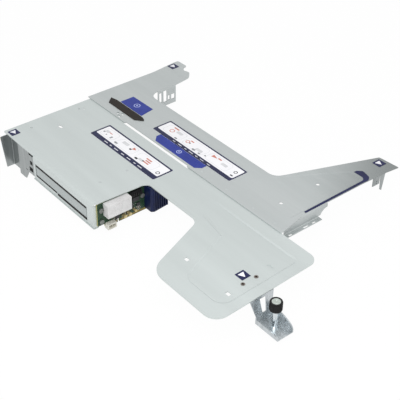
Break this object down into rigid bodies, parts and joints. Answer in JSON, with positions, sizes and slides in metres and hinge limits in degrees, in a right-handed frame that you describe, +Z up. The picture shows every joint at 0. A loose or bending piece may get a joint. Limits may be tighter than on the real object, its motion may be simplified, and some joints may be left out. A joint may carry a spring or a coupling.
{
  "type": "riser cage bracket",
  "caption": "Flat folded-sheet riser cage with an upright card riser, two arms, a paddle with a captive thumbscrew and printed labels.",
  "frame": {"origin": "middle of the whole part's footprint, on the plane that the corner post's foot stands on", "axes": "+X across the server from the corner post to the thumbscrew, +Y towards the server's front (the arms), +Z up"},
  "size_m": [0.4088, 0.3004, 0.0432],
  "materials": {
    "zinc_steel": "zinc-plated steel sheet",
    "zinc_steel_front": "zinc-plated steel sheet",
    "post_steel": "zinc-plated steel sheet",
    "cover_steel": "stainless steel",
    "screw_steel": "blackened screw",
    "bracket_steel": "zinc-plated steel sheet",
    "solder_mask": "green glass-epoxy board",
    "black_nylon": "black moulded nylon",
    "white_nylon": "white moulded nylon",
    "ivory_nylon": "ivory moulded nylon",
    "strip_nylon": "black nylon with tinned pins",
    "chip_resin": "black epoxy",
    "capacitor_can": "aluminium cans",
    "blue_nylon": "dark blue moulded nylon",
    "board_screw_steel": "zinc-plated screws",
    "rivet_steel": "zinc-plated rivets",
    "hollow_rivet_steel": "hollow steel rivets",
    "guard_plastic": "black plastic",
    "foot_steel": "zinc-plated steel sheet",
    "bush_steel": "turned steel",
    "ring_steel": "spring steel",
    "turned_steel": "nickel-plated turned steel",
    "knob_plastic": "black moulded plastic",
    "label_white_cage": "printed film",
    "label_white_front": "printed film",
    "label_blue_left": "printed film",
    "label_blue_joint": "printed film",
    "label_blue_arm": "printed film",
    "label_arrow": "printed film",
    "guide_steel": "zinc-plated steel sheet"
  },
  "bodies": {
    "root": {"cage_sheet": "zinc_steel", "front_sheet": "zinc_steel_front", "corner_post": "post_steel", "slot_cover": "cover_steel", "cover_screw": "screw_steel", "board_bracket": "bracket_steel", "riser_board": "solder_mask", "slot_connector": "black_nylon", "cable_connector": "white_nylon", "signal_header": "ivory_nylon", "pin_strip": "strip_nylon", "board_chips": "chip_resin", "board_capacitors": "capacitor_can", "guide_block": "blue_nylon", "board_screws": "board_screw_steel", "sheet_rivets": "rivet_steel", "bracket_rivets": "hollow_rivet_steel", "edge_guard": "guard_plastic", "foot_bracket": "foot_steel", "screw_bush": "bush_steel", "cage_label": "label_white_cage", "front_label": "label_white_front", "left_grip_label": "label_blue_left", "joint_grip_label": "label_blue_joint", "arm_grip_label": "label_blue_arm", "arrow_labels": "label_arrow", "tip_guide": "guide_steel"},
    "screw_carrier": {"retaining_ring": "ring_steel"},
    "screw": {"thumbscrew": "turned_steel", "knob_sleeve": "knob_plastic"}
  },
  "joints": [
    {"name": "screw_lift", "type": "slide", "parent": "root", "child": "screw_carrier", "axis": [0, 0, 1], "range_m": [0, 0.0035]},
    {"name": "screw_turn", "type": "hinge", "parent": "screw_carrier", "child": "screw", "pos_m": [0.19, -0.08905, 0.02], "axis": [0, 0, 1], "continuous": true}
  ]
}
